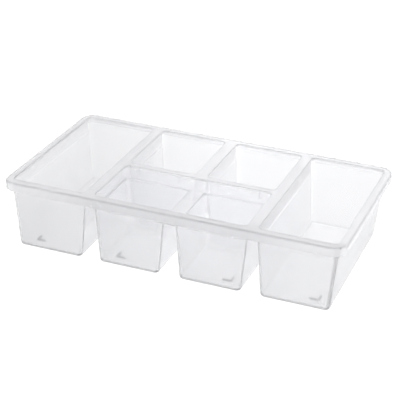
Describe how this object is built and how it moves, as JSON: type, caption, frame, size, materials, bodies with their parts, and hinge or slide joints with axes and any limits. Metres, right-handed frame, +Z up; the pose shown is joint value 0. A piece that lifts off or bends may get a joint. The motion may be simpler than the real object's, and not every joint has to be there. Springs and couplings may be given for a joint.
{
  "type": "parts sorting tray",
  "caption": "Open-topped clear plastic tray whose tapered compartments hang from one flat rim with a down-turned skirt, for sorting small parts.",
  "frame": {"origin": "on the table plane, under the middle of the rim", "axes": "+X along the long side to the right, +Y from the front edge to the back edge, +Z up"},
  "size_m": [0.264, 0.148, 0.0555],
  "materials": {
    "clear_plastic": "clear moulded plastic, slightly frosted"
  },
  "bodies": {
    "root": {"rim_frame": "clear_plastic", "divider_left": "clear_plastic", "divider_right": "clear_plastic", "divider_cross": "clear_plastic", "divider_front": "clear_plastic", "divider_rear": "clear_plastic", "front_recess": "clear_plastic", "bin_left": "clear_plastic", "bin_front_left": "clear_plastic", "bin_front_right": "clear_plastic", "bin_rear_left": "clear_plastic", "bin_rear_right": "clear_plastic", "bin_right": "clear_plastic", "floor_rib_left_front": "clear_plastic", "floor_rib_left_rear": "clear_plastic", "floor_rib_front_left": "clear_plastic", "floor_rib_front_right": "clear_plastic", "floor_rib_rear_left": "clear_plastic", "floor_rib_rear_right": "clear_plastic", "floor_rib_right_front": "clear_plastic", "floor_rib_right_rear": "clear_plastic"}
  },
  "joints": []
}
